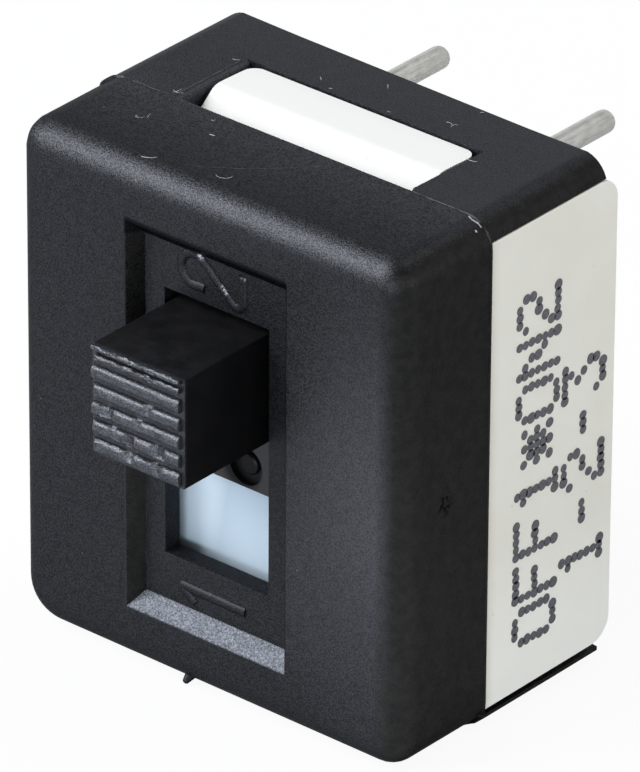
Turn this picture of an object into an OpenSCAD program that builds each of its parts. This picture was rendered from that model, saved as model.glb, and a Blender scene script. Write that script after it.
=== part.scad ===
// Two-pole slide switch for a printed circuit board.
// The origin is the middle of the six-pin pattern in the plane of the board.
// +Y is the way the pins point, -Y is the knob side, +X is the width, and the
// knob slides along Z. The knob is drawn at the top of its travel.
// Depths named here are measured back from the front face of the bezel.

/* [Body] */
// Width of the switch
body_w = 11.3; // [10.4:0.1:14]
// Height of the switch, along the travel
body_h = 12.8; // [12.4:0.1:16]
// Depth from the bezel's front face to the board
body_d = 7.42; // [7.2:0.02:9.6]
// Radius of the bezel's front and long edges
corner_r = 0.7; // [0.3:0.05:0.9]

/* [Cover] */
// Depth of the bezel, down to the parting line
bezel_d = 3.05; // [2.4:0.05:3.4]
// Draft of the bezel: how much each side draws in at the front
bezel_draft = 0.05; // [0:0.01:0.2]
// Thickness of the bezel's left and right walls
side_wall = 0.6; // [0.4:0.05:0.9]
// Thickness of the straps over the top and bottom of the case
strap_t = 0.5; // [0.4:0.05:0.6]
// How far the straps stop short of the board
strap_short = 0.4; // [0.2:0.05:0.8]
// Radius of the long edges of the lower strap
lower_strap_r = 0.45; // [0.2:0.05:0.7]
// Width of the recess floor on each side of the slot
recess_side = 0.56; // [0.3:0.02:1]
// Height of the recess floor past each end of the slot, where the digits stand
recess_end = 1.29; // [1.25:0.01:1.5]
// Depth of the recess
recess_d = 0.4; // [0.2:0.05:0.6]
// How far the recess walls lean in over their depth
recess_lean = 0.27; // [0.1:0.01:0.3]
// Thickness of the wall that the slot is cut through
slot_wall = 0.47; // [0.35:0.01:0.6]
// Width of the snap windows in the straps
window_w = 6.7; // [5:0.1:8.4]
// Depth of the snap windows, back from the parting line
window_d = 2.45; // [2.2:0.05:2.8]
// Height of a position digit, measured across the body
digit_h = 1.9; // [1.4:0.1:2.4]
// Width of a stroke of a position digit
digit_stroke = 0.24; // [0.16:0.02:0.3]
// How far the position digits stand up
digit_raise = 0.1; // [0.05:0.01:0.2]

/* [Slider] */
// Width of the knob
knob_w = 2.68; // [2.2:0.02:3.22]
// Height of the knob, along the travel
knob_h = 2.74; // [2.28:0.02:3.2]
// How far the knob stands in front of the bezel
knob_reach = 2.33; // [1:0.05:4]
// Number of grip ridges on the knob
ridge_count = 6; // [3:1:8]
// Height of the grip ridges
ridge_h = 0.14; // [0.05:0.01:0.25]
// Travel of the knob
travel = 3.5; // [2.9:0.05:4.2]
// How far the skirt reaches past the knob at each end
skirt_over = 1.58; // [1.2:0.01:1.6]
// Thickness of the skirt
skirt_t = 0.3; // [0.2:0.02:0.32]
// Width of a leg
leg_w = 1.5; // [1.3:0.05:1.8]
// Height of a leg, along the travel
leg_h = 2.6; // [1.6:0.1:2.8]
// Diameter of the spring bores in the legs
bore_d = 0.9; // [0.7:0.02:1]
// Diameter of the gate recess in the skirt
gate_d = 1; // [0.6:0.05:1]

/* [Contacts] */
// Spacing of the pins along the travel
pin_pitch = 4.7; // [4.5:0.05:4.8]
// Spacing of the two columns of pins
pin_column = 4.83; // [4.7:0.01:5.1]
// Diameter of the pins
pin_d = 0.56; // [0.4:0.01:0.7]
// Length of the pins below the board face
pin_reach = 3.7; // [2.5:0.1:6]
// Thickness of a rocking contact
rocker_t = 0.25; // [0.15:0.01:0.3]
// How far a rocking contact tips to each side, in degrees
rocker_tip = 5; // [3:0.5:6]
// Diameter of the contact buttons
button_d = 0.9; // [0.6:0.05:1]
// How far the plungers stand out of the legs
plunger_show = 0.69; // [0.5:0.01:0.9]
// Length of a fitted spring
spring_len = 1.2; // [0.9:0.05:1.4]
// Diameter of the spring wire
wire_d = 0.12; // [0.08:0.01:0.15]
// Number of turns in a spring
spring_turns = 5; // [3:1:7]

/* [Case] */
// Depth of the chamber floor that the contacts stand on
floor_depth = 4.9; // [4.8:0.05:5.2]
// Thickness of the floor between the chambers and the seal
floor_t = 1.5; // [1:0.05:1.8]
// Width of the rib between the two poles
rib_w = 3.6; // [3.4:0.05:3.65]
// Wall around the seal at the back of the case
rim_w = 0.7; // [0.5:0.05:1]
// Radius of the top and bottom edges at the back of the case
case_r = 0.6; // [0.2:0.05:0.8]

/* [Hidden] */
$fn = 48;

// Clearances
fit_gap = 0.02;         // case inside the cover, plungers in their bores, contacts
slide_gap = 0.03;       // sliding faces of the skirt
side_gap = 0.05;        // sides of the legs, snap to window
rocker_gap = 0.1;       // sides of the rocking contacts, against the legs' width
knob_side_gap = 0.17;   // knob to the sides of the slot
knob_end_gap = 0.24;    // knob to the end of the slot at each end of its travel
past = 1;               // how far a cut runs past a face

// Depths, back from the front face
slot_w = knob_w + 2 * knob_side_gap;
slot_h = knob_h + travel + 2 * knob_end_gap;
recess_w = slot_w + 2 * (recess_side + recess_lean);
recess_h = slot_h + 2 * (recess_end + recess_lean);
slot_back = recess_d + slot_wall;
skirt_front = slot_back + slide_gap;
skirt_back = skirt_front + skirt_t;
rib_front = skirt_back + fit_gap;
strap_end = body_d - strap_short;
seal_front = floor_depth + floor_t;

// Heights and widths
case_h = body_h - 2 * (strap_t + fit_gap);
lip_w = body_w - 2 * (side_wall + fit_gap);
head_d = button_d + 0.1;
head_t = 0.25;
chamber_h = 2 * pin_pitch + head_d + 2 * side_gap;
leg_x = rib_w / 2 + side_gap;
chamber_x = leg_x + leg_w + side_gap;
skirt_w = 2 * chamber_x;
skirt_h = knob_h + 2 * skirt_over;
slider_z = travel / 2;
stop_z = slider_z + skirt_h / 2 + slide_gap;

// Square shank, just wider than the round end of its pin
shank_w = pin_d + 0.01;

// Rocking contacts. A plunger crosses a shallow V while the V tips over, and
// plunger_gap leaves room for the most that the arms rise under it
pole_x = leg_x + leg_w / 2;
rocker_w = leg_w - 2 * rocker_gap;
plunger_d = bore_d - 2 * fit_gap;
plunger_gap = fit_gap + travel / 4 * tan(rocker_tip / 2);
fulcrum_r = 0.2;
fulcrum_rise = 0.12;
groove_r = fulcrum_r + slide_gap;
saddle_t = 0.25;
pivot_depth = floor_depth - 0.48;
arm_back = pivot_depth - fulcrum_rise * cos(rocker_tip);
rocker_half = pin_pitch + 0.25;
button_front = arm_back + fit_gap;
plunger_tip = arm_back - rocker_t - plunger_gap;
leg_end = plunger_tip - plunger_show;
spring_back = skirt_back + spring_len;

// ---------------------------------------------------------------- helpers

// Moves a shape whose depth is measured from the front face to the origin
module from_face() {
    translate([0, -body_d, 0]) children();
}

// A block given by its middle in X and Z, its size there, and its two depths
module block(w, h, y0, y1, x = 0, z = 0) {
    translate([x - w / 2, y0, z - h / 2]) cube([w, y1 - y0, h]);
}

// A round bar along Y
module rod(d, y0, y1, x = 0, z = 0) {
    translate([x, y0, z]) rotate([-90, 0, 0]) cylinder(d = d, h = y1 - y0);
}

// A flat outline drawn as (depth, Z), extruded along X
module along_x(w, x = 0) {
    translate([x - w / 2, 0, 0]) rotate([90, 0, 90]) linear_extrude(w) children();
}

// A flat outline drawn as (X, Z), extruded from one depth to another
module along_y(y0, y1) {
    translate([0, y1, 0]) rotate([90, 0, 0]) linear_extrude(y1 - y0) children();
}

module rounded_rect(w, h, r) {
    square([w - 2 * r, h], center = true);
    square([w, h - 2 * r], center = true);
    for (x = [-1, 1], z = [-1, 1])
        translate([x * (w / 2 - r), z * (h / 2 - r)]) circle(r);
}

// A plate of depth d that is size across at the back and draws in by draft on
// each side at the front, with its two front corners rounded, as (depth, half size)
module rounded_nose(d, size, r, draft = 0) {
    lean = atan(draft / d);
    mid = size / 2 - draft + r * tan(lean) - r / cos(lean);
    edge = [r - r * sin(lean), mid + r * cos(lean)];
    polygon([
        [0, mid], [r, mid], edge, [d, size / 2],
        [d, -size / 2], [edge[0], -edge[1]], [r, -mid], [0, -mid]
    ]);
    for (s = [-1, 1]) translate([r, s * mid]) circle(r);
}

// ------------------------------------------------------------------ cover

module bezel_block() {
    intersection() {
        along_y(0, bezel_d) rounded_rect(body_w, body_h, corner_r);
        along_x(body_w) rounded_nose(bezel_d, body_h, corner_r, bezel_draft);
        translate([0, 0, -body_h / 2]) linear_extrude(body_h)
            rotate(90) rounded_nose(bezel_d, body_w, corner_r, bezel_draft);
    }
}

// The straps run back from the bezel over the case's top and bottom
module strap(side, r) {
    cut = body_h / 2 - strap_t;
    along_y(bezel_d - corner_r, strap_end) intersection() {
        rounded_rect(body_w, body_h, r);
        translate([-body_w / 2, side > 0 ? cut : -body_h / 2]) square([body_w, strap_t]);
    }
}

module recess_cut() {
    intersection() {
        along_x(recess_w) recess_profile(recess_h);
        translate([0, 0, -recess_h / 2]) linear_extrude(recess_h)
            rotate(90) mirror([0, 1]) recess_profile(recess_w);
    }
}

// Section of the recess as (depth, half size), with leaning walls
module recess_profile(size) {
    lean = recess_lean / recess_d;
    polygon([
        [-past, size / 2 + past * lean], [recess_d, size / 2 - recess_lean],
        [recess_d, -size / 2 + recess_lean], [-past, -size / 2 - past * lean]
    ]);
}

// A digit is drawn upright, then turned so that its top points to -X
module raised_digit(z) {
    translate([0, 0, z]) along_y(recess_d - digit_raise, recess_d + slot_wall / 2)
        rotate(90) children();
}

module stroke(a, b) {
    run = b - a;
    translate(a) rotate(atan2(run[1], run[0])) translate([0, -digit_stroke / 2])
        square([norm(run), digit_stroke]);
    for (end = [a, b]) translate(end) circle(digit_stroke / 2);
}

module digit_one() {
    top = (digit_h - digit_stroke) / 2;
    stroke([0, -top], [0, top]);
    stroke([0, top], [-digit_h / 5, top - digit_h / 5]);
}

module digit_two() {
    top = (digit_h - digit_stroke) / 2;
    bow = digit_h / 4;
    difference() {
        translate([0, top - bow]) circle(bow + digit_stroke / 2);
        translate([0, top - bow]) circle(bow - digit_stroke / 2);
        translate([-digit_h, top - 3 * bow]) square([digit_h, 2 * bow]);
        translate([0, top - 3 * bow]) square([digit_h, 1.5 * bow]);
    }
    stroke([bow * cos(30), top - 1.5 * bow], [-bow, -top]);
    stroke([-bow, -top], [bow, -top]);
}

module cover() {
    digit_z = (slot_h + recess_end) / 2;
    color("#26272b") from_face() {
        difference() {
            union() {
                bezel_block();
                strap(1, corner_r);
                strap(-1, lower_strap_r);
            }
            block(body_w - 2 * side_wall, body_h - 2 * strap_t, slot_back, body_d + past);
            block(body_w + 2 * past, body_h - 2 * strap_t, bezel_d, body_d + past);
            recess_cut();
            block(slot_w, slot_h, 0, slot_back + past);
            block(window_w, body_h + 2 * past, bezel_d, bezel_d + window_d);
        }
        raised_digit(digit_z) digit_two();
        raised_digit(-digit_z) digit_one();
    }
}

// ------------------------------------------------------------------- case

// Wedge that snaps into a strap's window, as (depth, height above the case)
module snap_wedge() {
    crest = strap_t + fit_gap - 0.01;
    foot = bezel_d + 0.6;
    back = bezel_d + window_d - 2 * side_gap;
    polygon([
        [foot, -0.1], [foot, 0], [foot + crest, crest - 0.02], [foot + crest + 0.3, crest],
        [back, crest - 0.15], [back, -0.1]
    ]);
}

module case_outline() {
    intersection() {
        block(body_w, case_h, bezel_d, body_d);
        along_x(body_w) translate([body_d, 0]) mirror([1, 0])
            rounded_nose(body_d, case_h, case_r);
    }
}

module case() {
    color("#dedcd2") from_face() {
        difference() {
            union() {
                case_outline();
                block(lip_w, case_h, rib_front, bezel_d + past);
            }
            for (s = [-1, 1])
                translate([s * (rib_w / 2 + chamber_x) / 2, 0, 0])
                    block(chamber_x - rib_w / 2, chamber_h, rib_front - past, floor_depth);
            block(body_w - 2 * rim_w, chamber_h - side_gap, seal_front, body_d + past);
            shank_holes(floor_depth - past);
        }
        for (s = [-1, 1]) {
            stop_h = case_h / 2 - stop_z;
            block(rib_w, stop_h, skirt_front, bezel_d, 0, s * (stop_z + stop_h / 2));
            mirror([0, 0, s > 0 ? 0 : 1]) translate([0, 0, case_h / 2])
                along_x(window_w - 4 * side_gap) snap_wedge();
        }
    }
}

module seal() {
    color("#b9b3a0") from_face() difference() {
        block(body_w - 2 * rim_w, chamber_h - side_gap, seal_front, body_d);
        shank_holes(seal_front - past);
    }
}

// ----------------------------------------------------------------- slider

// Grip on the knob's front: flat-topped ridges across its width
module grip_profile() {
    pitch = knob_h / ridge_count;
    for (i = [0 : ridge_count - 1]) {
        z = -knob_h / 2 + (i + 0.5) * pitch;
        polygon([
            [ridge_h + 0.01, z - 0.46 * pitch], [0, z - 0.3 * pitch],
            [0, z + 0.3 * pitch], [ridge_h + 0.01, z + 0.46 * pitch]
        ]);
    }
}

module slider() {
    color("#1d1e21") from_face() translate([0, 0, slider_z]) difference() {
        union() {
            translate([0, -knob_reach, 0]) along_x(knob_w) grip_profile();
            block(knob_w, knob_h, -knob_reach + ridge_h, skirt_back);
            block(skirt_w, skirt_h, skirt_front, skirt_back);
            for (s = [-1, 1])
                block(leg_w, leg_h, skirt_front, leg_end, s * (leg_x + leg_w / 2));
        }
        for (s = [-1, 1]) rod(bore_d, skirt_back, leg_end + past, s * pole_x);
        gate_recess();
    }
}

// Round recess left around the moulding gate, low on the skirt
module gate_recess() {
    x = 0.44;
    z = -skirt_h / 2 + gate_d / 2 + 0.05;
    difference() {
        rod(gate_d, 0, skirt_front + skirt_t / 2, x, z);
        rod(gate_d * 0.6, 0, skirt_back, x, z);
        block(knob_w, knob_h, 0, skirt_back);
    }
}

module plunger(side) {
    color("#c9a961") from_face() translate([side * pole_x, 0, slider_z]) {
        rod(plunger_d, spring_back, plunger_tip - plunger_d / 2);
        translate([0, plunger_tip - plunger_d / 2, 0]) sphere(d = plunger_d);
    }
}

// Centre line and surface of the spring, swept ring by ring along the helix
module helix(r, wire, pitch, turns) {
    sides = 8;
    steps = 16 * turns;
    points = [
        for (i = [0 : steps], k = [0 : sides - 1])
            let (a = 360 * turns * i / steps, b = 360 * k / sides, reach = r + wire / 2 * cos(b))
                [reach * cos(a), reach * sin(a), pitch * turns * i / steps + wire / 2 * sin(b)]
    ];
    walls = [
        for (i = [0 : steps - 1], k = [0 : sides - 1])
            let (n = (k + 1) % sides)
                [i * sides + k, (i + 1) * sides + k, (i + 1) * sides + n, i * sides + n]
    ];
    start = [for (k = [0 : sides - 1]) k];
    end = [for (k = [sides - 1 : -1 : 0]) steps * sides + k];
    polyhedron(points, concat(walls, [start], [end]), convexity = 4);
}

module spring(side) {
    coil_d = bore_d - side_gap - wire_d;
    pitch = (spring_len - wire_d) / spring_turns;
    color("#9fa1a4") from_face()
        translate([side * pole_x, skirt_back + wire_d / 2, slider_z]) rotate([-90, 0, 0])
            helix(coil_d / 2, wire_d, pitch, spring_turns);
}

// --------------------------------------------------------------- contacts

// A strip bent to a shallow V, tipped so that its upper arm is closed
module rocker(side) {
    reach = rocker_half;
    lean = rocker_tip;
    color("#c8c9c6") from_face() translate([side * pole_x, pivot_depth, 0])
        rotate([-lean, 0, 0]) difference() {
            translate([0, -fulcrum_rise, 0]) along_x(rocker_w) polygon([
                [0, 0],
                [-reach * sin(lean), reach * cos(lean)],
                [-reach * sin(lean) - rocker_t * cos(lean), reach * cos(lean) - rocker_t * sin(lean)],
                [-rocker_t / cos(lean), 0],
                [-reach * sin(lean) - rocker_t * cos(lean), -reach * cos(lean) + rocker_t * sin(lean)],
                [-reach * sin(lean), -reach * cos(lean)]
            ]);
            along_x(rocker_w + past) circle(groove_r);
        }
}

// Folded bracket on the middle pin, with two round-topped ears to rock on
module saddle(side) {
    ear_t = 0.15;
    base_y = floor_depth - saddle_t;
    color("#c9a961") from_face() difference() {
        union() {
            block(rocker_w, 4 * pin_d, base_y, floor_depth, side * pole_x);
            for (s = [-1, 1])
                along_x(ear_t, side * pole_x + s * (rocker_w - ear_t) / 2) {
                    translate([pivot_depth, 0]) circle(fulcrum_r);
                    translate([pivot_depth, -fulcrum_r])
                        square([base_y - pivot_depth + saddle_t / 2, 2 * fulcrum_r]);
                }
        }
        shank(base_y, floor_depth + past, fit_gap, side * pin_column / 2);
    }
}

// A pin's square shank, or with a gap the hole that it stands in
module shank(y0, y1, gap = 0, x = 0, z = 0) {
    block(shank_w + gap, shank_w + gap, y0, y1, x, z);
}

// Holes for all six shanks, from one depth to behind the board face
module shank_holes(y0) {
    for (s = [-1, 1], row = [-1, 0, 1])
        shank(y0, body_d + past, fit_gap, s * pin_column / 2, row * pin_pitch);
}

// A round pin below the board face, on a square shank inside the case
module pin(side, row) {
    start = row == 0 ? floor_depth - saddle_t : floor_depth;
    tip_r = pin_d / 2;
    color("#bdbbb4") from_face() translate([side * pin_column / 2, 0, row * pin_pitch]) {
        shank(start, body_d);
        rod(pin_d, body_d - tip_r, body_d + pin_reach - tip_r);
        translate([0, body_d + pin_reach - tip_r, 0]) sphere(tip_r);
        if (row != 0) rod(head_d, floor_depth - head_t, floor_depth);
    }
}

module button(side, row) {
    color("#d9d9d6") from_face()
        rod(button_d, button_front, floor_depth - head_t, side * pin_column / 2, row * pin_pitch);
}

cover();
case();
slider();
spring(-1);  // spring_left
spring(1);  // spring_right
plunger(-1);  // plunger_left
plunger(1);  // plunger_right
rocker(-1);  // rocker_left
rocker(1);  // rocker_right
saddle(-1);  // saddle_left
saddle(1);  // saddle_right
pin(-1, 1);  // pin_left_top
pin(-1, 0);  // pin_left_middle
pin(-1, -1);  // pin_left_bottom
pin(1, 1);  // pin_right_top
pin(1, 0);  // pin_right_middle
pin(1, -1);  // pin_right_bottom
button(-1, 1);  // button_left_top
button(-1, -1);  // button_left_bottom
button(1, 1);  // button_right_top
button(1, -1);  // button_right_bottom
seal();
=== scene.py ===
"""A two-pole slide switch for a circuit board, with its moulded, printed and plated finishes.

The pieces are modelled in millimetres and brought down to metres when they are done.
+Y points to the board, so the knob is on the -Y side, and it slides along Z.
"""

import math
import random

import bpy
import bmesh
from mathutils import Matrix, Vector


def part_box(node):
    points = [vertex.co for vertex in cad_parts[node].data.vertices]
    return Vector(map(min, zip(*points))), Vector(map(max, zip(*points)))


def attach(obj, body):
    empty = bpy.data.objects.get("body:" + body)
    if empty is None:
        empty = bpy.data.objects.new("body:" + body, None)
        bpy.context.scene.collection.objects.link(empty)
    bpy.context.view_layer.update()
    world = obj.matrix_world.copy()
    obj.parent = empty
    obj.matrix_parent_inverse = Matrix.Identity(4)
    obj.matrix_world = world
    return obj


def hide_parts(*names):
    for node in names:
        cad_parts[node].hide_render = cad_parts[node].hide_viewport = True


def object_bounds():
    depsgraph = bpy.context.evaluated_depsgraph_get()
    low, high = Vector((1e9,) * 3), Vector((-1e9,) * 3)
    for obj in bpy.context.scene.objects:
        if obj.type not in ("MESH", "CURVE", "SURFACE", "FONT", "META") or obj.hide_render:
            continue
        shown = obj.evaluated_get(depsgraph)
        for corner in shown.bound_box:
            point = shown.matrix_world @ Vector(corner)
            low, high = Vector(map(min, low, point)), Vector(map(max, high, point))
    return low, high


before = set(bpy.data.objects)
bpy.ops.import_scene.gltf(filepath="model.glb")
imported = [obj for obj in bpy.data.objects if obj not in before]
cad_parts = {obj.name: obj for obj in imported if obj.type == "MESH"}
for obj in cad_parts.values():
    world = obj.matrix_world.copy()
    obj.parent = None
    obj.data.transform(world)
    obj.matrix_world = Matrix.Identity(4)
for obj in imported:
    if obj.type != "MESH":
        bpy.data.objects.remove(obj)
cad_low, cad_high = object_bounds()
MM = 0.001


# ------------------------------------------------------------------ sizes

def span(node):
    """Lowest and highest corner of a node, in millimetres."""
    low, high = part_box(node)
    return low / MM, high / MM


COVER_LOW, COVER_HIGH = span("cover")
CASE_LOW, CASE_HIGH = span("case")
SLIDER_LOW, SLIDER_HIGH = span("slider")
SEAL_LOW, SEAL_HIGH = span("seal")

FRONT = COVER_LOW.y
HALF_W = COVER_HIGH.x
HALF_H = COVER_HIGH.z
STRAP_END = COVER_HIGH.y
BOARD = CASE_HIGH.y

CORNER_R = 0.7
LOWER_LEFT_R = 1.05
STEP = 0.03
PLAY = 0.012
DRAFT = 0.05
PARTING = FRONT + 3.05
STRAP_UNDER = HALF_H - 0.50
SIDE_INNER = HALF_W - 0.6
RECESS_HALF = Vector((2.34, 0, 4.92))
RECESS_FLOOR_HALF = Vector((2.07, 0, 4.54))
RECESS_FLOOR = FRONT + 0.40
SLOT_HALF = Vector((1.51, 0, 3.36))
SLOT_BACK = FRONT + 0.87
WINDOW_HALF = 3.35
WINDOW_BACK = PARTING + 2.45
RIB_HALF = 1.8
RIB_FRONT = FRONT + 1.22
CASE_HALF_H = HALF_H - 0.52
CASE_R = 0.6
KNOB_HALF = 1.34
KNOB_TIP = SLIDER_LOW.y
SLIDER_MID = (SLIDER_LOW.z + SLIDER_HIGH.z) / 2
KNOB_LOW = SLIDER_MID - 1.37
KNOB_TOP = SLIDER_MID + 1.37
SKIRT_FRONT = FRONT + 0.90
SKIRT_BACK = FRONT + 1.20
RIDGE_H = 0.14
RIDGES = 6
PRINT_FACE = HALF_W - 0.012


# -------------------------------------------------- modelling by operators

def clear_selection():
    if bpy.context.object and bpy.context.object.mode == "EDIT":
        bpy.ops.object.mode_set(mode="OBJECT")
    bpy.ops.object.select_all(action="DESELECT")


def start_block(name, low, high):
    """A box between two corners, open for editing."""
    clear_selection()
    low, high = Vector(low), Vector(high)
    bpy.ops.mesh.primitive_cube_add(size=1, location=(low + high) / 2, scale=high - low)
    piece = bpy.context.object
    piece.name = piece.data.name = name
    bpy.ops.object.transform_apply(location=True, rotation=True, scale=True)
    bpy.ops.object.mode_set(mode="EDIT")
    return piece


def start_rod(name, radius, y0, y1, x, z, sides=32):
    """A round bar along Y, open for editing."""
    clear_selection()
    bpy.ops.mesh.primitive_cylinder_add(
        vertices=sides, radius=radius, depth=y1 - y0, location=(x, (y0 + y1) / 2, z),
        rotation=(math.pi / 2, 0, 0))
    piece = bpy.context.object
    piece.name = piece.data.name = name
    bpy.ops.object.transform_apply(location=True, rotation=True, scale=True)
    bpy.ops.object.mode_set(mode="EDIT")
    return piece


def pick(kind, test):
    """In edit mode, selects the faces, edges or vertices that pass a test, and no others."""
    bpy.ops.mesh.select_mode(type={"faces": "FACE", "edges": "EDGE", "verts": "VERT"}[kind])
    bpy.ops.mesh.select_all(action="DESELECT")
    mesh = bmesh.from_edit_mesh(bpy.context.object.data)
    mesh.normal_update()
    count = 0
    for part in getattr(mesh, kind):
        if test(part):
            part.select = True
            count += 1
    mesh.select_flush_mode()
    bmesh.update_edit_mesh(bpy.context.object.data)
    return count


def faces_towards(direction, *tests):
    direction = Vector(direction)
    return pick("faces", lambda f: f.normal.dot(direction) > 0.98
                and all(t(f.calc_center_median()) for t in tests))


def edges_where(test):
    """Selects edges by their two ends."""
    return pick("edges", lambda e: test(e.verts[0].co, e.verts[1].co))


def near(a, b, slack=1e-3):
    return abs(a - b) < slack


def slice_selected(axis, *places):
    """Cuts what is selected by planes across an axis."""
    normal = {"x": (1, 0, 0), "y": (0, 1, 0), "z": (0, 0, 1)}[axis]
    for place in places:
        bpy.ops.mesh.bisect(plane_co=Vector(normal) * place, plane_no=normal, threshold=1e-5)


def slice_all(axis, *places):
    for place in places:
        bpy.ops.mesh.select_all(action="SELECT")
        slice_selected(axis, place)


def push(*move):
    bpy.ops.mesh.extrude_region_move(TRANSFORM_OT_translate={"value": Vector(move)})


def shift(*move):
    bpy.ops.transform.translate(value=Vector(move))


def resize(factors, about):
    bpy.ops.transform.resize(value=factors, center_override=about)


def round_edges(radius, segments, profile=0.5):
    bpy.ops.mesh.bevel(offset=radius, segments=segments, profile=profile, clamp_overlap=True)


def modify(piece, kind, **settings):
    """Adds a modifier and applies it."""
    clear_selection()
    bpy.context.view_layer.objects.active = piece
    piece.select_set(True)
    modifier = piece.modifiers.new(kind.lower(), kind)
    for name, value in settings.items():
        setattr(modifier, name, value)
    bpy.ops.object.modifier_apply(modifier=modifier.name)


def combine(piece, tool, operation):
    """Joins a tool to a piece, or cuts it away, and discards the tool."""
    clear_selection()
    modify(piece, "BOOLEAN", operation=operation, object=tool, solver="EXACT")
    bpy.data.objects.remove(tool)


def join_pieces(pieces, name):
    clear_selection()
    for piece in pieces:
        piece.select_set(True)
    bpy.context.view_layer.objects.active = pieces[0]
    bpy.ops.object.join()
    pieces[0].name = pieces[0].data.name = name
    return pieces[0]


def finish_piece(piece, body, finish, replaced=(), angle=32):
    """Cleans a piece, brings it to metres, and gives it its finish and its body."""
    clear_selection()
    bpy.context.view_layer.objects.active = piece
    piece.select_set(True)
    bpy.ops.object.mode_set(mode="EDIT")
    bpy.ops.mesh.select_mode(type="VERT")
    bpy.ops.mesh.select_all(action="SELECT")
    bpy.ops.mesh.remove_doubles(threshold=2e-4)
    bpy.ops.mesh.dissolve_degenerate(threshold=1e-4)
    bpy.ops.mesh.select_all(action="SELECT")
    bpy.ops.mesh.normals_make_consistent(inside=False)
    bpy.ops.object.mode_set(mode="OBJECT")
    piece.scale = (MM, MM, MM)
    bpy.ops.object.transform_apply(location=True, rotation=True, scale=True)
    bpy.ops.object.shade_smooth_by_angle(angle=math.radians(angle))
    piece.data.materials.clear()
    piece.data.materials.append(finish)
    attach(piece, body)
    for node in replaced:
        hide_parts(node)
    return piece


# --------------------------------------------------------------- shaders

class Wire:
    """A shader output that takes part in sums."""

    def __init__(self, finish, socket):
        self.finish = finish
        self.socket = socket

    def sum(self, operation, first, second):
        return self.finish.add("ShaderNodeMath", {"operation": operation}, [first, second])

    def __add__(self, other):
        return self.sum("ADD", self, other)

    def __radd__(self, other):
        return self.sum("ADD", other, self)

    def __sub__(self, other):
        return self.sum("SUBTRACT", self, other)

    def __rsub__(self, other):
        return self.sum("SUBTRACT", other, self)

    def __mul__(self, other):
        return self.sum("MULTIPLY", self, other)

    def __rmul__(self, other):
        return self.sum("MULTIPLY", other, self)

    def __truediv__(self, other):
        return self.sum("DIVIDE", self, other)

    def __pow__(self, other):
        return self.sum("POWER", self, other)

    def __abs__(self):
        return self.sum("ABSOLUTE", self, 0.0)

    def greatest(self, other):
        return self.sum("MAXIMUM", self, other)


class Graph:
    """The nodes of a material or of the world."""

    def __init__(self, tree, coordinates):
        self.tree = tree
        self.tree.nodes.clear()
        self.place = self.add("ShaderNodeTexCoord", {}, {}, coordinates)

    def add(self, kind, settings, inputs, output=0):
        """Adds a node: its settings first, then the values or wires of its sockets."""
        node = self.tree.nodes.new(kind)
        for name, value in settings.items():
            if name == "stops":
                ramp = node.color_ramp
                while len(ramp.elements) < len(value):
                    ramp.elements.new(0.5)
                for stop, (position, colour) in zip(ramp.elements, value):
                    stop.position = position
                    stop.color = colour if hasattr(colour, "__len__") else (colour,) * 3 + (1,)
            else:
                setattr(node, name, value)
        pairs = inputs.items() if isinstance(inputs, dict) else enumerate(inputs)
        for key, value in pairs:
            socket = node.inputs[key]
            if isinstance(value, Wire):
                self.tree.links.new(value.socket, socket)
            else:
                socket.default_value = value
        return Wire(self, node.outputs[output]) if len(node.outputs) else None

    def noise(self, size_mm, detail=2.0, roughness=0.5, stretch=None, output=0):
        place = self.place
        if stretch:
            place = self.add("ShaderNodeMapping", {}, {"Vector": self.place, "Scale": stretch})
        return self.add("ShaderNodeTexNoise", {}, {
            "Vector": place, "Scale": 1 / (size_mm * MM), "Detail": detail,
            "Roughness": roughness}, output)

    def cells(self, size_mm, feature="F1", randomness=1.0, output="Distance"):
        return self.add("ShaderNodeTexVoronoi", {"feature": feature}, {
            "Vector": self.place, "Scale": 1 / (size_mm * MM), "Randomness": randomness}, output)

    def ramp(self, value, *stops):
        return self.add("ShaderNodeValToRGB", {"stops": stops}, {"Fac": value})

    def level(self, value, low, high, new_low=0.0, new_high=1.0):
        """Maps one range of values onto another, clamped."""
        return self.add("ShaderNodeMapRange", {"clamp": True}, {
            "Value": value, "From Min": low, "From Max": high,
            "To Min": new_low, "To Max": new_high})

    def blend(self, share, first, second):
        """Mixes two colours."""
        return self.add("ShaderNodeMix", {"data_type": "RGBA"}, {
            0: share, 6: first, 7: second}, 2)

    def axis(self, which):
        """One coordinate: in millimetres on a piece, and a slope on the world."""
        part = self.add("ShaderNodeSeparateXYZ", {}, {"Vector": self.place}, "XYZ".index(which))
        return part * (1 / MM) if isinstance(self, Finish) else part

    def between(self, value, low, high, soft):
        """A mask that is 1 between two places and fades over a soft edge outside them."""
        return self.level(value, low - soft, low) * self.level(value, high + soft, high)

    def bump(self, height, strength, depth_mm, normal=None):
        inputs = {"Height": height, "Strength": strength, "Distance": depth_mm * MM}
        if normal:
            inputs["Normal"] = normal
        return self.add("ShaderNodeBump", {}, inputs)


class Finish(Graph):
    """A material built from nodes on the pieces' own coordinates."""

    def __init__(self, name):
        self.material = bpy.data.materials.new(name)
        self.material.use_nodes = True
        super().__init__(self.material.node_tree, "Object")

    def surface(self, colour, roughness, normal=None, metallic=0.0, **constants):
        inputs = {"Base Color": colour, "Roughness": roughness, "Metallic": metallic}
        if normal:
            inputs["Normal"] = normal
        inputs.update(constants)
        shader = self.add("ShaderNodeBsdfPrincipled", {}, inputs)
        self.add("ShaderNodeOutputMaterial", {}, {"Surface": shader})
        return self.material


def rgb(red, green, blue):
    return (red, green, blue, 1.0)


FIGURE_GLINTS = ((-0.42, 4.53), (0.27, 4.00), (0.36, 3.92), (0.80, 4.44))


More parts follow.
